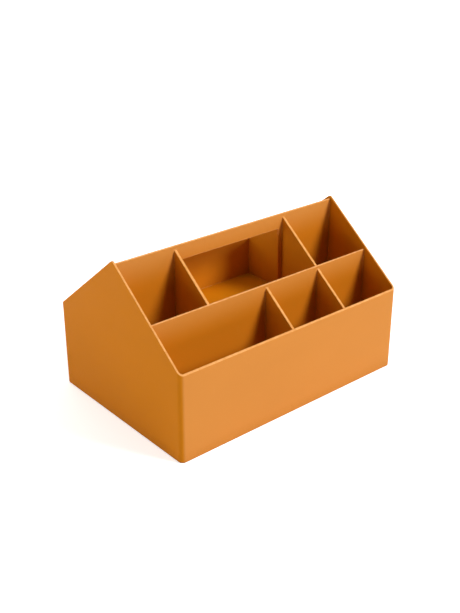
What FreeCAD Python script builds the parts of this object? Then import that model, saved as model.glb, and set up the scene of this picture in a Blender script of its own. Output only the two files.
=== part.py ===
import FreeCAD, Part
import Sketcher
import os

# A carry-all caddy. One moulded tub with a gabled end at each side holds a crate of thin
# panels, bonded in, which make the bays, the shallow tray and the handle over it.
# Millimetres. X runs along the handle, the front is at -Y and Z is up.
# The origin is the middle of the underside.

document = FreeCAD.newDocument("caddy")
sizes = document.addObject("Spreadsheet::Sheet", "sizes")
derived = document.addObject("Spreadsheet::Sheet", "derived")

driving_sizes = {
    # tub
    "base_length": 333.0,       # outside, across the bottom
    "base_width": 230.0,        # outside, front to back across the bottom
    "eave_height": 105.0,       # where the roof line meets the front and back walls
    "ridge_height": 197.5,      # where the two roof lines would meet
    "draft_angle": 0.6,         # degrees that every wall leans out
    "wall": 2.5,
    "floor_thickness": 2.5,
    "corner_radius": 6.0,       # outside of the four upright corners
    "peak_radius": 4.0,         # rounded tip of each gable
    "foot_radius": 1.2,         # outside of the bottom edge
    "floor_radius": 1.5,        # inside, where the walls meet the floor
    "rim_radius": 0.6,          # every rim and panel top
    # crate of panels
    "panel_thickness": 2.5,     # long panels and tray floor
    "divider_thickness": 3.4,   # cross dividers
    "handle_drop": 4.6,         # top of the handle panel below the ridge
    "partition_drop": 5.7,      # top of a long partition below the roof line
    "divider_drop": 8.9,        # top of a cross divider below the roof line
    "partition_offset": 62.2,   # from the handle panel to each long partition
    "divider_spacing": 83.75,   # from the middle to the outer cross dividers
    "tray_height": 92.0,        # top of the tray floor
    "jamb_width": 6.5,          # handle panel left between its window and a divider
    "grip_depth": 19.3,         # height of the handle bar
    "grip_corner": 1.0,         # upper corners of the window
    "grip_round": 0.6,          # edges that the hand touches
    # seats and cuts
    "groove_depth": 0.6,        # how far a panel edge is let into the panel beside it
    "fit_gap": 0.1,             # clearance in a groove and at the tub's walls
    "overrun": 5.0,             # how far a cut runs past what it cuts
    "pick_reach": 0.01,         # how far from its level an edge may lie
}

derived_sizes = {
    "lean": "=tan(sizes.draft_angle)",
    "eave_half_width": "=sizes.base_width / 2 + sizes.eave_height * lean",
    "slope": "=(sizes.ridge_height - sizes.eave_height) / eave_half_width",
    "half_panel": "=sizes.panel_thickness / 2",
    "half_divider": "=sizes.divider_thickness / 2",
    "half_length": "=sizes.base_length / 2 - sizes.wall",
    "half_width": "=sizes.base_width / 2 - sizes.wall",
    "inner_corner": "=max(sizes.corner_radius - sizes.wall; sizes.floor_radius + sizes.fit_gap)",
    "floor_clip": "=sizes.floor_radius + sizes.fit_gap",
    "tongue": "=sizes.groove_depth - sizes.fit_gap",
    "handle_top": "=sizes.ridge_height - sizes.handle_drop",
    "bar_bottom": "=handle_top - sizes.grip_depth",
    "half_window": "=sizes.divider_spacing - half_divider - sizes.jamb_width",
    "partition_top": "=sizes.ridge_height - slope * sizes.partition_offset - sizes.partition_drop",
    "tray_bottom": "=sizes.tray_height - sizes.panel_thickness",
}


def fill_sheet(sheet, entries):
    for row, (alias, content) in enumerate(entries.items(), 1):
        sheet.set("A%d" % row, alias)
        sheet.set("B%d" % row, str(content))
        sheet.setAlias("B%d" % row, alias)


fill_sheet(sizes, driving_sizes)
fill_sheet(derived, derived_sizes)
document.recompute()

aligned_share = 0.9
upward_share = 0.3


# Sketches

def origin_plane(body, role):
    return next(item for item in body.Origin.OriginFeatures if item.Role == role)


def new_sketch(body, name, role, offset="0"):
    sketch = body.newObject("Sketcher::SketchObject", name)
    sketch.AttachmentSupport = [(origin_plane(body, role), "")]
    sketch.MapMode = "FlatFace"
    sketch.setExpression("AttachmentOffset.Base.z", offset)
    return sketch


def draw_outline(sketch, corners):
    # a closed outline of straight edges, each corner placed by two bound distances;
    # an edge's points are 1, its start, and 2, its end, and (-1, 1) is the origin
    first = sketch.GeometryCount
    count = len(corners)
    places = []
    for across, up in corners:
        places.append(FreeCAD.Vector(sketch.evalExpression(across), sketch.evalExpression(up), 0))
    for number in range(count):
        edge = Part.LineSegment(places[number], places[(number + 1) % count])
        sketch.addGeometry(edge, False)
    for number in range(count):
        this_edge = first + number
        next_edge = first + (number + 1) % count
        sketch.addConstraint(Sketcher.Constraint("Coincident", this_edge, 2, next_edge, 1))
    for number, (across, up) in enumerate(corners):
        corner = first + number
        for kind, formula, value in (("DistanceX", across, places[number].x),
                                     ("DistanceY", up, places[number].y)):
            rule = Sketcher.Constraint(kind, -1, 1, corner, 1, value)
            name = "%s_%d" % (kind, corner)
            sketch.renameConstraint(sketch.addConstraint(rule), name)
            sketch.setExpression("Constraints." + name, formula)


def rectangle(left, right, bottom, top):
    return [(left, bottom), (right, bottom), (right, top), (left, top)]


def mirrored(right_side):
    # the right half of an outline, bottom to top, completed by its mirror image
    left_side = [("-(%s)" % across, up) for across, up in reversed(right_side)]
    return right_side + left_side


# Features

def new_body(label):
    body = document.addObject("PartDesign::Body", label)
    body.Label = label
    return body


def add_pad(body, sketch, length, side="One side"):
    pad = body.newObject("PartDesign::Pad", sketch.Name + "_pad")
    pad.Profile = sketch
    pad.SideType = side
    pad.setExpression("Length", length)
    document.recompute()


def cut_pocket(body, sketch, length, side="One side", along_normal=False):
    before = body.Shape.Volume
    pocket = body.newObject("PartDesign::Pocket", sketch.Name + "_cut")
    pocket.Profile = sketch
    pocket.SideType = side
    pocket.Reversed = along_normal
    pocket.setExpression("Length", length)
    document.recompute()
    if not body.Shape.Volume < before:
        raise RuntimeError(pocket.Name + " removes nothing")


def lean_walls(body, name, outer):
    # draft that opens the outer or the inner walls upwards, turning about the underside
    support = body.Tip
    walls = upright_faces(body.Shape, outer)
    draft = body.newObject("PartDesign::Draft", name)
    draft.Base = (support, walls)
    draft.NeutralPlane = (origin_plane(body, "XY_Plane"), [""])
    draft.Reversed = outer
    draft.setExpression("Angle", "sizes.draft_angle")
    document.recompute()


def round_edges(body, name, edges, radius):
    support = body.Tip
    fillet = body.newObject("PartDesign::Fillet", name)
    fillet.Base = (support, edges)
    fillet.setExpression("Radius", radius)
    document.recompute()


# Finding faces to lean and edges to round

def face_names(shape, wanted):
    return ["Face%d" % number for number, face in enumerate(shape.Faces, 1) if wanted(face)]


def edge_names(shape, wanted):
    return ["Edge%d" % number for number, edge in enumerate(shape.Edges, 1) if wanted(edge)]


def direction(edge):
    run = edge.lastVertex().Point - edge.firstVertex().Point
    return run.normalize() if run.Length else run


def facing(face):
    first_u, last_u, first_v, last_v = face.ParameterRange
    return face.normalAt((first_u + last_u) / 2, (first_v + last_v) / 2)


def upright_edges(shape, foot):
    # edges that rise from the given height
    def rises(edge):
        lowest = min(vertex.Z for vertex in edge.Vertexes)
        return abs(direction(edge).z) > aligned_share and abs(lowest - foot) < sizes.pick_reach
    return edge_names(shape, rises)


def upright_faces(shape, outer):
    # walls that face away from the middle, or towards it
    def is_wall(face):
        normal = facing(face)
        return abs(normal.z) < upward_share and (normal.dot(face.CenterOfMass) > 0) == outer
    return face_names(shape, is_wall)


def level_edges(shape, height):
    def at_height(edge):
        return all(abs(vertex.Z - height) < sizes.pick_reach for vertex in edge.Vertexes)
    return edge_names(shape, at_height)


def long_edges_of(shape, face):
    pair = sorted(face.Edges, key=lambda edge: edge.Length)[-2:]
    return edge_names(shape, lambda edge: any(edge.isSame(side) for side in pair))


def highest_face(shape, up):
    faces = [face for face in shape.Faces if facing(face).z * up > upward_share]
    return max(faces, key=lambda face: face.CenterOfMass.z)


def rim_edges(shape):
    # both borders of the sloping rim, without the seams between its own faces
    rim = [face for face in shape.Faces
           if facing(face).z > upward_share and face.CenterOfMass.z > sizes.eave_height]

    def on_border(edge):
        return sum(edge.isSame(side) for face in rim for side in face.Edges) == 1
    return edge_names(shape, on_border)


# Places on the tub's leaning walls and under its roof line

def end_wall(height):
    return "(derived.half_length + (%s) * derived.lean - sizes.fit_gap)" % height


def front_wall(height):
    return "(derived.half_width + (%s) * derived.lean - sizes.fit_gap)" % height


def divider_top(distance):
    return "(sizes.ridge_height - derived.slope * (%s) - sizes.divider_drop)" % distance


# Tub: a tapered block, cut to the roof line, hollowed and rounded

def tub():
    body = new_body("tub")
    block_height = "sizes.ridge_height + sizes.overrun"

    base = new_sketch(body, "tub_base", "XY_Plane")
    draw_outline(base, rectangle("-sizes.base_length / 2", "sizes.base_length / 2",
                                 "-sizes.base_width / 2", "sizes.base_width / 2"))
    add_pad(body, base, block_height)
    lean_walls(body, "tub_outer_draft", True)
    round_edges(body, "tub_corners", upright_edges(body.Shape, 0), "sizes.corner_radius")

    outside = "(derived.eave_half_width + sizes.overrun)"
    roof_foot = "sizes.eave_height - sizes.overrun * derived.slope"
    above = block_height + " + sizes.overrun"
    roof = new_sketch(body, "tub_roof", "YZ_Plane")
    draw_outline(roof, [("0", "sizes.ridge_height"),
                        (outside, roof_foot),
                        (outside, above),
                        ("-" + outside, above),
                        ("-" + outside, roof_foot)])
    cut_pocket(body, roof, "2 * sizes.base_length", side="Symmetric")
    round_edges(body, "tub_peak", level_edges(body.Shape, sizes.ridge_height), "sizes.peak_radius")

    hollow = new_sketch(body, "tub_hollow", "XY_Plane", "sizes.floor_thickness")
    draw_outline(hollow, rectangle("-derived.half_length", "derived.half_length",
                                   "-derived.half_width", "derived.half_width"))
    cut_pocket(body, hollow, block_height, along_normal=True)
    lean_walls(body, "tub_inner_draft", False)
    round_edges(body, "tub_inner_corners", upright_edges(body.Shape, sizes.floor_thickness),
                "derived.inner_corner")
    round_edges(body, "tub_floor_round", level_edges(body.Shape, sizes.floor_thickness),
                "sizes.floor_radius")
    round_edges(body, "tub_foot_round", level_edges(body.Shape, 0), "sizes.foot_radius")
    round_edges(body, "tub_rim_round", rim_edges(body.Shape), "sizes.rim_radius")
    return body


# Long panels, which stand on the floor and run from gable to gable

def long_panel(label, top):
    body = new_body(label)
    outline = new_sketch(body, label + "_outline", "XZ_Plane")
    clip_top = "sizes.floor_thickness + derived.floor_clip"
    draw_outline(outline, mirrored([
        (end_wall("sizes.floor_thickness") + " - derived.floor_clip", "sizes.floor_thickness"),
        (end_wall(clip_top), clip_top),
        (end_wall(top), top)]))
    add_pad(body, outline, "sizes.panel_thickness", side="Symmetric")
    return body


def cut_divider_grooves(body, face_side, middles, top):
    # upright grooves, open at the foot, in the front (-1) or rear (1) face of a long panel
    name = "%s_%s_grooves" % (body.Name, "front" if face_side < 0 else "rear")
    sketch = new_sketch(body, name, "XZ_Plane", "%d * derived.half_panel" % -face_side)
    half_groove = "(derived.half_divider + sizes.fit_gap)"
    for middle in middles:
        draw_outline(sketch, rectangle("%s - %s" % (middle, half_groove), "%s + %s" % (middle, half_groove),
                                       "sizes.floor_thickness - sizes.overrun", top + " + sizes.fit_gap"))
    cut_pocket(body, sketch, "sizes.groove_depth", along_normal=face_side > 0)


def cut_tray_groove(body, face_side):
    sketch = new_sketch(body, body.Name + "_tray_groove", "XZ_Plane",
                        "%d * derived.half_panel" % -face_side)
    draw_outline(sketch, rectangle("-sizes.divider_spacing", "sizes.divider_spacing",
                                   "derived.tray_bottom - sizes.fit_gap",
                                   "sizes.tray_height + sizes.fit_gap"))
    cut_pocket(body, sketch, "sizes.groove_depth", along_normal=face_side > 0)


both_outer_dividers = ["-sizes.divider_spacing", "sizes.divider_spacing"]
lower_dividers = ["0", "sizes.divider_spacing"]


def handle_panel():
    body = long_panel("handle_panel", "derived.handle_top")
    window = new_sketch(body, "handle_panel_window", "XZ_Plane")
    draw_outline(window, rectangle("-derived.half_window", "derived.half_window",
                                   "derived.tray_bottom", "derived.bar_bottom"))
    cut_pocket(body, window, "2 * sizes.panel_thickness", side="Symmetric")

    def window_corner(edge):
        at_top = abs(edge.CenterOfMass.z - derived.bar_bottom) < sizes.pick_reach
        return at_top and abs(direction(edge).y) > aligned_share
    round_edges(body, "handle_panel_corners", edge_names(body.Shape, window_corner), "sizes.grip_corner")
    bar_edges = long_edges_of(body.Shape, highest_face(body.Shape, -1))
    round_edges(body, "handle_panel_grip", bar_edges, "sizes.grip_round")
    top_edges = long_edges_of(body.Shape, highest_face(body.Shape, 1))
    round_edges(body, "handle_panel_crest", top_edges, "sizes.rim_radius")
    for face_side in (-1, 1):
        cut_divider_grooves(body, face_side, both_outer_dividers,
                            divider_top("derived.half_panel - sizes.groove_depth"))
    return body


def partition(label, side):
    body = long_panel(label, "derived.partition_top")
    body.setExpression("Placement.Base.y", "%d * sizes.partition_offset" % side)
    top_edges = long_edges_of(body.Shape, highest_face(body.Shape, 1))
    round_edges(body, label + "_crest", top_edges, "sizes.rim_radius")
    inner_face = "sizes.partition_offset - derived.half_panel"
    cut_divider_grooves(body, -side, both_outer_dividers, divider_top(inner_face))
    cut_tray_groove(body, -side)
    return body


def front_partition():
    body = partition("front_partition", -1)
    outer_groove = "sizes.partition_offset + derived.half_panel - sizes.groove_depth"
    cut_divider_grooves(body, -1, lower_dividers, divider_top(outer_groove))
    return body


def rear_partition():
    return partition("rear_partition", 1)


# Cross dividers, whose tops run parallel to the roof line

def divider(label, middle, outline):
    body = new_body(label)
    sketch = new_sketch(body, label + "_outline", "YZ_Plane")
    draw_outline(sketch, outline)
    add_pad(body, sketch, "sizes.divider_thickness", side="Symmetric")
    body.setExpression("Placement.Base.x", middle)
    top_edges = long_edges_of(body.Shape, highest_face(body.Shape, 1))
    round_edges(body, label + "_crest", top_edges, "sizes.rim_radius")
    return body


def upper_divider(label, side, middle):
    near = "(derived.half_panel - derived.tongue)"
    far = "(sizes.partition_offset - derived.half_panel + derived.tongue)"
    return divider(label, middle, [("%d * %s" % (side, near), "sizes.floor_thickness"),
                                   ("%d * %s" % (side, far), "sizes.floor_thickness"),
                                   ("%d * %s" % (side, far), divider_top(far)),
                                   ("%d * %s" % (side, near), divider_top(near))])


def lower_divider(label, middle):
    near = "(sizes.partition_offset + derived.half_panel - derived.tongue)"
    clip_top = "sizes.floor_thickness + derived.floor_clip"
    wall_foot = "(derived.half_width - sizes.fit_gap)"
    eave = "(%s / (1 + derived.slope * derived.lean))" % divider_top(wall_foot)
    return divider(label, middle, [
        ("-" + near, "sizes.floor_thickness"),
        ("-(%s - derived.floor_clip)" % front_wall("sizes.floor_thickness"), "sizes.floor_thickness"),
        ("-" + front_wall(clip_top), clip_top),
        ("-" + front_wall(eave), eave),
        ("-" + near, divider_top(near))])


# Tray floor: let into both partitions, resting on the sill of the handle's window,
# with a notch at each end round the window's jamb

def tray_floor():
    body = new_body("tray_floor")
    half_x = "(sizes.divider_spacing - derived.half_divider - sizes.fit_gap)"
    half_y = "(sizes.partition_offset - derived.half_panel + derived.tongue)"
    notch_x = "(derived.half_window - sizes.fit_gap)"
    notch_y = "(derived.half_panel + sizes.fit_gap)"
    outline = new_sketch(body, "tray_floor_outline", "XY_Plane")
    draw_outline(outline, mirrored([(half_x, "-" + half_y),
                                    (half_x, "-" + notch_y),
                                    (notch_x, "-" + notch_y),
                                    (notch_x, notch_y),
                                    (half_x, notch_y),
                                    (half_x, half_y)]))
    add_pad(body, outline, "sizes.panel_thickness")
    body.setExpression("Placement.Base.z", "derived.tray_bottom")
    return body


left = "-sizes.divider_spacing"
centre = "0"
right = "sizes.divider_spacing"

pieces = [
    tub(),
    handle_panel(),
    front_partition(),
    rear_partition(),
    tray_floor(),
    upper_divider("front_upper_left_divider", -1, left),
    upper_divider("front_upper_right_divider", -1, right),
    upper_divider("rear_upper_left_divider", 1, left),
    upper_divider("rear_upper_right_divider", 1, right),
    lower_divider("front_lower_centre_divider", centre),
    lower_divider("front_lower_right_divider", right),
]

document.recompute()
for item in document.Objects:
    if "Invalid" in item.State or "Error" in item.State:
        raise RuntimeError("%s failed: %s" % (item.Label, item.State))
for piece in pieces:
    if piece.Shape.isNull() or not piece.Shape.isValid() or len(piece.Shape.Solids) != 1:
        raise RuntimeError(piece.Label + " is not one sound solid")

os.makedirs("parts", exist_ok=True)
for piece in pieces:
    piece.Shape.exportStep("parts/%s.step" % piece.Label)
    box = piece.Shape.BoundBox
    print("%-28s %8.1f mm3, %.1f x %.1f x %.1f" % (piece.Label, piece.Shape.Volume,
                                                 box.XLength, box.YLength, box.ZLength))
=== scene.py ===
import math

import bpy
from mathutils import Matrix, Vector

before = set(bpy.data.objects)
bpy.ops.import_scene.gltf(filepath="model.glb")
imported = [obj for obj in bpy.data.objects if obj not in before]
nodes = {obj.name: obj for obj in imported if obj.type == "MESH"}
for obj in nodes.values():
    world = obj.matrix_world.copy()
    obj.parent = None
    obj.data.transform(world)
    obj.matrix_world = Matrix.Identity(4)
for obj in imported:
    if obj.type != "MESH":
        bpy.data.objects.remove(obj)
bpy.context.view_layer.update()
millimetre = 0.001
underAll, overAll = -1.0, 1.0  # heights in metres, below and above the whole caddy
print("frame loaded:", len(nodes), "pieces of the caddy")


# helpers for node trees; what feeds a socket is a value, or a pair: a node and the name of its output
def place(tree, kind, settings=None, inputs=None):
    node = tree.nodes.new(kind)
    for name, value in (settings or {}).items():
        setattr(node, name, value)
    for name, value in (inputs or {}).items():
        feed(tree, value, node, name)
    return node


def feed(tree, value, target, name):
    if isinstance(value, tuple) and len(value) == 2:
        source, output = value
        tree.links.new(source.outputs[output], target.inputs[name])
    else:
        target.inputs[name].default_value = value


def combine(tree, operation, first, second):
    return place(tree, "ShaderNodeMath", {"operation": operation}, {0: first, 1: second}), "Value"


def dot(tree, first, second):
    return place(tree, "ShaderNodeVectorMath", {"operation": "DOT_PRODUCT"}, {0: first, 1: second}), "Value"


def ramp(tree, value, span, into=(0.0, 1.0)):
    settings = {"interpolation_type": "SMOOTHSTEP"}
    inputs = {"Value": value, "From Min": span[0], "From Max": span[1], "To Min": into[0], "To Max": into[1]}
    return place(tree, "ShaderNodeMapRange", settings, inputs), "Result"


def blend(tree, factor, first, second):
    settings = {"data_type": "RGBA", "clamp_factor": True}
    return place(tree, "ShaderNodeMix", settings, {"Factor": factor, "A": first, "B": second}), "Result"


def noise(tree, vector, scale, form):
    return place(tree, "ShaderNodeTexNoise", None, dict(form, Vector=vector, Scale=scale)), "Fac"


def stretch(tree, vector, scale, turn=(0.0, 0.0, 0.0)):
    inputs = {"Vector": vector, "Rotation": turn, "Scale": scale}
    return place(tree, "ShaderNodeMapping", {"vector_type": "POINT"}, inputs), "Vector"


def axis(tree, vector, name):
    return place(tree, "ShaderNodeSeparateXYZ", None, {"Vector": vector}), name


def startGroup(name, inputs, outputs):
    group = bpy.data.node_groups.new(name, "ShaderNodeTree")
    for sockets, side in ((inputs, "INPUT"), (outputs, "OUTPUT")):
        for label, kind in sockets.items():
            group.interface.new_socket(label, in_out=side, socket_type=kind)
    return group, place(group, "NodeGroupInput"), place(group, "NodeGroupOutput")


def useGroup(tree, group, inputs):
    return place(tree, "ShaderNodeGroup", {"node_tree": group}, inputs)


def startMaterial(name):
    material = bpy.data.materials.new(name)
    material.use_nodes = True
    material.node_tree.nodes.clear()
    return material, material.node_tree


number, tint = "NodeSocketFloat", "NodeSocketColor"

# the fine eroded texture of the mould, as height and as a change of roughness
grainForm = {
    "pits": {"Detail": 3.0, "Roughness": 0.6},
    "softness": 0.6,
    "middle": 0.5,
}


def makeMouldGrain(form):
    group, given, result = startGroup(
        "mouldGrain",
        {"Pits per metre": number, "Rough swing": number},
        {"Height": number, "Rough change": number})
    spot = (place(group, "ShaderNodeTexCoord"), "Object")
    scale = (given, "Pits per metre")
    pits = noise(group, spot, scale, form["pits"])
    cells = place(group, "ShaderNodeTexVoronoi", {"feature": "SMOOTH_F1"},
                  {"Vector": spot, "Scale": scale, "Smoothness": form["softness"]})
    feed(group, combine(group, "ADD", pits, (cells, "Distance")), result, "Height")
    centred = combine(group, "SUBTRACT", pits, form["middle"])
    feed(group, combine(group, "MULTIPLY", centred, (given, "Rough swing")), result, "Rough change")
    return group


# slow drift of shade left by the melt as it fills the mould, with fine flecks
driftForm = {
    "stretch": (7.0, 9.0, 16.0),
    "cloud": {"Detail": 2.0, "Distortion": 0.6},
    "flecksPerMetre": 900.0,
    "fleck": {"Detail": 1.0},
    "fleckShare": 0.35,
    "middle": 0.675,
}


def makeMeltDrift(form):
    group, given, result = startGroup("meltDrift", {"Colour": tint, "Swing": number}, {"Colour": tint})
    spot = (place(group, "ShaderNodeTexCoord"), "Object")
    cloud = noise(group, stretch(group, spot, form["stretch"]), 1.0, form["cloud"])
    fleck = noise(group, spot, form["flecksPerMetre"], form["fleck"])
    both = combine(group, "ADD", cloud, combine(group, "MULTIPLY", fleck, form["fleckShare"]))
    centred = combine(group, "SUBTRACT", both, form["middle"])
    swing = combine(group, "MULTIPLY", centred, (given, "Swing"))
    level = combine(group, "ADD", swing, 1.0)
    shaded = place(group, "ShaderNodeVectorMath", {"operation": "SCALE"},
                   {0: (given, "Colour"), "Scale": level})
    feed(group, (shaded, "Vector"), result, "Colour")
    return group


# edges and rims rubbed paler and smoother by hands and by what goes in and out; the paler colour on rounded
# edges and on upward rims above a given height is also a painted highlight
rubAndHighlightForm = {
    "samples": 6,
    "bend": (0.995, 0.86),
    "breaksPerMetre": 160.0,
    "breaks": {"Detail": 4.0, "Roughness": 0.65},
    "breakSpan": (0.32, 0.66),
    "breakLevel": (0.55, 1.0),
    "upward": (0.25, 0.6),
}


def makeRubAndHighlight(form):
    group, given, result = startGroup(
        "rubAndHighlightGroup",
        {"Reach": number, "Rims above": number, "Edges above": number},
        {"Rub and highlight": number})
    rounded = place(group, "ShaderNodeBevel", {"samples": form["samples"]}, {"Radius": (given, "Reach")})
    normal = (place(group, "ShaderNodeNewGeometry"), "Normal")
    edge = ramp(group, dot(group, (rounded, "Normal"), normal), form["bend"])
    upward = ramp(group, axis(group, normal, "Z"), form["upward"])
    spot = (place(group, "ShaderNodeTexCoord"), "Object")
    height = axis(group, spot, "Z")
    onRim = combine(group, "GREATER_THAN", height, (given, "Rims above"))
    inReach = combine(group, "GREATER_THAN", height, (given, "Edges above"))
    # painted highlight on upward faces above the given height
    rim = combine(group, "MULTIPLY", upward, onRim)
    either = combine(group, "MAXIMUM", combine(group, "MULTIPLY", edge, inReach), rim)
    breaks = noise(group, spot, form["breaksPerMetre"], form["breaks"])
    patchy = ramp(group, breaks, form["breakSpan"], form["breakLevel"])
    feed(group, combine(group, "MULTIPLY", either, patchy), result, "Rub and highlight")
    return group


# hair-thin scuffs in two directions, where things slide in and out
scuffForm = {
    "strokes": (
        {"turn": (0.3, 0.2, 0.5), "stretch": (900.0, 900.0, 26.0)},
        {"turn": (1.1, 0.7, 0.2), "stretch": (26.0, 1100.0, 1100.0)},
    ),
    "hair": {"Detail": 1.0},
    "hairSpan": (0.70, 0.78),
    "patchesPerMetre": 34.0,
    "patch": {"Detail": 2.0},
    "patchSpan": (0.5, 0.66),
}


def makeHairScuff(form):
    group, given, result = startGroup("hairScuff", {"Amount": number}, {"Scuff": number})
    spot = (place(group, "ShaderNodeTexCoord"), "Object")
    strokes = []
    for stroke in form["strokes"]:
        drawn = stretch(group, spot, stroke["stretch"], stroke["turn"])
        strokes.append(ramp(group, noise(group, drawn, 1.0, form["hair"]), form["hairSpan"]))
    both = combine(group, "MAXIMUM", *strokes)
    patches = noise(group, spot, form["patchesPerMetre"], form["patch"])
    some = combine(group, "MULTIPLY", both, ramp(group, patches, form["patchSpan"]))
    feed(group, combine(group, "MULTIPLY", some, (given, "Amount")), result, "Scuff")
    return group


# painted shade deep in the corners, where walls hem a spot in and little light reaches
cornerShadeForm = {
    "samples": 6,
    "hemmed": (0.60, 0.20),
}


def makeCornerShade(form):
    group, given, result = startGroup("cornerShadeGroup", {"Reach": number}, {"Corner shade": number, "Open": number})
    opening = place(group, "ShaderNodeAmbientOcclusion", {"samples": form["samples"]},
                    {"Distance": (given, "Reach")})
    feed(group, ramp(group, (opening, "AO"), form["hemmed"]), result, "Corner shade")
    feed(group, (opening, "AO"), result, "Open")
    return group


# painted light: open faces turned to the main lamp are painted paler, from a given height upward
paintedLightForm = {
    "lampHeading": (0.545, -0.838, 0.0),  # level heading of the main lamp: the front and the right
    "turned": (0.31, 0.75),
    "open": (0.25, 0.60),
}


def makePaintedLight(form):
    group, given, result = startGroup(
        "paintedLightGroup",
        {"Open": number, "Begins at": number, "Full at": number},
        {"Fade": number})
    where = place(group, "ShaderNodeTexCoord")
    depth = ramp(group, axis(group, (where, "Object"), "Z"), ((given, "Begins at"), (given, "Full at")))
    turned = ramp(group, dot(group, (where, "Normal"), form["lampHeading"]), form["turned"])
    lit = combine(group, "MULTIPLY", turned, ramp(group, (given, "Open"), form["open"]))
    feed(group, combine(group, "MULTIPLY", lit, depth), result, "Fade")
    return group


mouldGrain = makeMouldGrain(grainForm)
meltDrift = makeMeltDrift(driftForm)
rubAndHighlightGroup = makeRubAndHighlight(rubAndHighlightForm)
hairScuff = makeHairScuff(scuffForm)
cornerShadeGroup = makeCornerShade(cornerShadeForm)
paintedLightGroup = makePaintedLight(paintedLightForm)
print("shared effects built:", len(bpy.data.node_groups))

ochre = (0.66, 0.214, 0.004, 1.0)
# painted shade: a darker copy of the ochre for the panels and handle panel, whose lower parts stand in shade
shadedOchre = (0.605, 0.182, 0.007, 1.0)
# painted shade: a darker copy of the ochre for the rear partition, in shade behind the handle panel
shadedRearOchre = (0.575, 0.187, 0.0065, 1.0)
dividerOchre = (0.65, 0.232, 0.008, 1.0)
trayOchre = (0.65, 0.206, 0.003, 1.0)
# painted light: the paler ochre laid on open faces turned to the main lamp
paintedLightOchre = (0.655, 0.246, 0.044, 1.0)
# partly wear, partly painted highlight: the paler ochre of rubbed edges and lit rims
rubAndHighlightOchre = (0.96, 0.48, 0.16, 1.0)
# painted shade: the dark ochre laid into hemmed corners
cornerShadeOchre = (0.30, 0.112, 0.004, 1.0)


def mouldedPlastic(name, look):
    material, tree = startMaterial(name)
    cornerShade = useGroup(tree, cornerShadeGroup, {"Reach": look["cornerShadeReach"]})
    paintedLightNode = useGroup(tree, paintedLightGroup, {
        "Open": (cornerShade, "Open"), "Begins at": look["paintedLightFrom"], "Full at": look["paintedLightFull"]})
    grain = useGroup(tree, mouldGrain, {"Pits per metre": look["pits"], "Rough swing": look["roughSwing"]})
    rubAndHighlightNode = useGroup(tree, rubAndHighlightGroup, {
        "Reach": look["rubAndHighlightReach"], "Rims above": look["rimsAbove"], "Edges above": look["edgesAbove"]})
    scuff = useGroup(tree, hairScuff, {"Amount": look["scuffs"]})
    outsideCornerShade = combine(tree, "SUBTRACT", 1.0, (cornerShade, "Corner shade"))
    rubAndHighlightMask = combine(tree, "MULTIPLY", (rubAndHighlightNode, "Rub and highlight"), outsideCornerShade)

    # colour: painted paler where lit, drifting, rubbed and scuffed with a painted highlight on edges and
    # rims, then darkened in the corners with painted shade
    paintedLightAmount = combine(tree, "MULTIPLY", (paintedLightNode, "Fade"), look["paintedLight"])
    ground = blend(tree, paintedLightAmount, look["colour"], paintedLightOchre)
    drift = useGroup(tree, meltDrift, {"Colour": ground, "Swing": look["drift"]})
    paler = combine(tree, "MULTIPLY", rubAndHighlightMask, look["rubAndHighlightPale"])
    wornAndHighlit = blend(tree, combine(tree, "ADD", paler, (scuff, "Scuff")), (drift, "Colour"), rubAndHighlightOchre)
    cornerShadeAmount = combine(tree, "MULTIPLY", (cornerShade, "Corner shade"), look["cornerShade"])
    cornerShaded = blend(tree, cornerShadeAmount, wornAndHighlit, cornerShadeOchre)

    rough = combine(tree, "ADD", (grain, "Rough change"), look["rough"])
    polished = combine(tree, "MULTIPLY", rubAndHighlightMask, look["rubPolish"])
    bump = place(tree, "ShaderNodeBump", None, {
        "Strength": look["bump"], "Distance": look["bumpDepth"], "Height": (grain, "Height")})
    surface = place(tree, "ShaderNodeBsdfPrincipled", None, {
        "Base Color": cornerShaded,
        "Roughness": combine(tree, "SUBTRACT", rough, polished),
        "IOR": look["ior"],
        "Specular IOR Level": look["gloss"],
        "Normal": (bump, "Normal"),
    })
    place(tree, "ShaderNodeOutputMaterial", None, {"Surface": (surface, "BSDF")})
    return material


def dress(names, material):
    for name in names:
        piece = nodes[name]
        if not piece.material_slots:
            piece.data.materials.append(material)
        for slot in piece.material_slots:
            slot.material = material


tubLook = {
    "colour": ochre,
    "drift": 0.08,
    "paintedLight": 1.0,
    "paintedLightFrom": underAll,
    "paintedLightFull": 0.0,
    "pits": 1500.0,  # per metre
    "roughSwing": 0.14,
    "rough": 0.50,
    "ior": 1.5,
    "gloss": 0.06,
    "bump": 0.5,
    "bumpDepth": 0.08 * millimetre,
    "rubAndHighlightReach": 1.2 * millimetre,
    "rimsAbove": 94.0 * millimetre,
    "edgesAbove": underAll,
    "rubAndHighlightPale": 0.80,
    "rubPolish": 0.10,
    "cornerShade": 0.75,
    "cornerShadeReach": 30.0 * millimetre,
    "scuffs": 0.05,
}
dress(["tub"], mouldedPlastic("tubPlastic", tubLook))

panelLook = dict(
    tubLook,
    colour=shadedOchre,
    paintedLight=0.85,
    paintedLightFrom=108.0 * millimetre,
    paintedLightFull=148.0 * millimetre,
    rubAndHighlightPale=1.0,
    rubAndHighlightReach=2.0 * millimetre,
    scuffs=0.04,
)
dress(["front_partition"], mouldedPlastic("partitionPlastic", panelLook))

shelteredLook = dict(panelLook, colour=shadedRearOchre, paintedLight=0.15)  # behind the handle panel, in shade: a darker copy of the ochre as painted shade, and less painted light
dress(["rear_partition"], mouldedPlastic("shelteredPlastic", shelteredLook))

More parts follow.
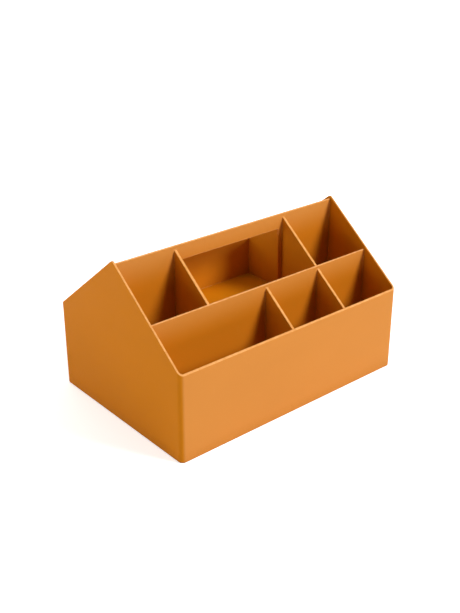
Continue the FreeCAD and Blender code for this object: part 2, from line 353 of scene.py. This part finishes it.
handleLook = dict(
    tubLook,
    colour=shadedOchre,
    paintedLightFrom=152.0 * millimetre,
    paintedLightFull=196.0 * millimetre,
    edgesAbove=166.0 * millimetre,  # the bar only
    rubAndHighlightPale=1.0,
    rubPolish=0.16,
    rubAndHighlightReach=2.0 * millimetre,
    scuffs=0.03,
)
dress(["handle_panel"], mouldedPlastic("handlePlastic", handleLook))

dividerLook = dict(tubLook, colour=dividerOchre, paintedLight=0.0, scuffs=0.06)
dress([name for name in nodes if name.endswith("divider")], mouldedPlastic("dividerPlastic", dividerLook))

trayLook = dict(tubLook, colour=trayOchre, paintedLight=0.0, rimsAbove=overAll, rough=0.46, scuffs=0.12)
dress(["tray_floor"], mouldedPlastic("trayPlastic", trayLook))
print("caddy dressed in", len(bpy.data.materials), "materials")


# what the eye sees straight, in a gloss or through glass
def seenRays(tree):
    path = place(tree, "ShaderNodeLightPath")
    sharp = combine(tree, "MAXIMUM", (path, "Is Glossy Ray"), (path, "Is Transmission Ray"))
    return combine(tree, "MAXIMUM", (path, "Is Camera Ray"), sharp)


white = (1.0, 1.0, 1.0, 1.0)

# pale floor, white to the camera where nothing shades it
floorLook = {
    "half": 4.0,  # metres
    "drop": 0.05 * millimetre,
    "paper": (0.88, 0.88, 0.875, 1.0),
    "fibre": (0.92, 0.92, 0.915, 1.0),
    "fibresPerMetre": 260.0,
    "fibreForm": {"Detail": 3.0},
    "rough": 0.85,
    "ior": 1.3,
    "lift": (0.60, 1.0),
    "liftSpan": (0.30, 0.75),  # metres from the middle
}


def makeFloor(look):
    half, level = look["half"], -look["drop"]
    mesh = bpy.data.meshes.new("paleFloor")
    corners = [(-half, -half, level), (half, -half, level), (half, half, level), (-half, half, level)]
    mesh.from_pydata(corners, [], [(0, 1, 2, 3)])
    floor = bpy.data.objects.new("paleFloor", mesh)
    bpy.context.scene.collection.objects.link(floor)
    material, tree = startMaterial("palePaper")
    spot = (place(tree, "ShaderNodeTexCoord"), "Object")
    fibre = noise(tree, spot, look["fibresPerMetre"], look["fibreForm"])
    paper = place(tree, "ShaderNodeBsdfPrincipled", None, {
        "Base Color": blend(tree, fibre, look["paper"], look["fibre"]),
        "Roughness": look["rough"],
        "IOR": look["ior"],
    })
    reach = place(tree, "ShaderNodeVectorMath", {"operation": "LENGTH"}, {0: spot})
    lift = ramp(tree, (reach, "Value"), look["liftSpan"], look["lift"])
    glow = place(tree, "ShaderNodeEmission", None, {
        "Color": white, "Strength": combine(tree, "MULTIPLY", lift, seenRays(tree))})
    both = place(tree, "ShaderNodeAddShader", None, {0: (paper, "BSDF"), 1: (glow, "Emission")})
    place(tree, "ShaderNodeOutputMaterial", None, {"Surface": (both, "Shader")})
    mesh.materials.append(material)


makeFloor(floorLook)

# room light, mostly from overhead, and white where the camera looks past the floor
roomLook = {
    "level": (0.04, 0.62),  # at the sides and overhead
    "levelSpan": (0.50, 1.0),
    "seen": 1.0,
}


def makeRoom(look):
    world = bpy.data.worlds.new("studio")
    world.use_nodes = True
    tree = world.node_tree
    tree.nodes.clear()
    upward = axis(tree, (place(tree, "ShaderNodeTexCoord"), "Generated"), "Z")
    level = ramp(tree, upward, look["levelSpan"], look["level"])
    room = place(tree, "ShaderNodeBackground", None, {"Color": white, "Strength": level})
    seen = place(tree, "ShaderNodeBackground", None, {"Color": white, "Strength": look["seen"]})
    either = place(tree, "ShaderNodeMixShader", None, {
        0: seenRays(tree), 1: (room, "Background"), 2: (seen, "Background")})
    place(tree, "ShaderNodeOutputWorld", None, {"Surface": (either, "Shader")})
    bpy.context.scene.world = world


makeRoom(roomLook)


def hangSoftbox(name, look):
    lamp = bpy.data.lights.new(name, "AREA")
    lamp.shape = "RECTANGLE"
    lamp.size, lamp.size_y = look["size"]
    lamp.energy = look["power"]
    lamp.color = look["colour"]
    box = bpy.data.objects.new(name, lamp)
    aim = Vector(look["towards"]).normalized()  # from the caddy to the lamp
    box.location = aim * look["away"]
    box.rotation_mode = "QUATERNION"
    box.rotation_quaternion = aim.to_track_quat("Z", "Y")
    box.visible_camera = False
    bpy.context.scene.collection.objects.link(box)


keyLight = {
    "towards": (0.449, -0.691, 0.567),  # front, right, above
    "away": 6.0,
    "size": (2.0, 2.0),
    "power": 340.0,
    "colour": (0.98, 1.0, 1.08),
}
hangSoftbox("keySoftbox", keyLight)

sideLight = {
    "towards": (-0.89, 0.22, 0.28),  # left and a little behind, for the gable end
    "away": 1.4,
    "size": (1.2, 0.4),
    "power": 6.0,
    "colour": (1.0, 0.93, 0.80),
}
hangSoftbox("sideStrip", sideLight)

backLight = {
    "towards": (0.25, 0.85, 0.46),  # behind, so that the far side isn't left dull
    "away": 1.7,
    "size": (1.2, 0.8),
    "power": 10.0,
    "colour": (1.0, 0.92, 0.86),
}
hangSoftbox("backSoftbox", backLight)
print("floor, room and lamps set")

photoView = {
    "stand": (-0.677, -0.793, 0.590),  # metres from the middle of the underside
    "turn": 0.7052,  # radians from +Y towards +X
    "dip": 0.3495,  # radians below level
    "lens": 55.55,
    "shiftY": -0.15,
    "nearest": 0.01,
}


def setCamera(look):
    lens = bpy.data.cameras.new("photoCamera")
    lens.lens = look["lens"]
    lens.shift_y = look["shiftY"]
    lens.clip_start = look["nearest"]
    camera = bpy.data.objects.new("photoCamera", lens)
    camera.location = look["stand"]
    camera.rotation_euler = (math.pi / 2 - look["dip"], 0.0, -look["turn"])
    bpy.context.scene.collection.objects.link(camera)
    bpy.context.scene.camera = camera


setCamera(photoView)
bpy.context.scene.view_settings.view_transform = "Standard"
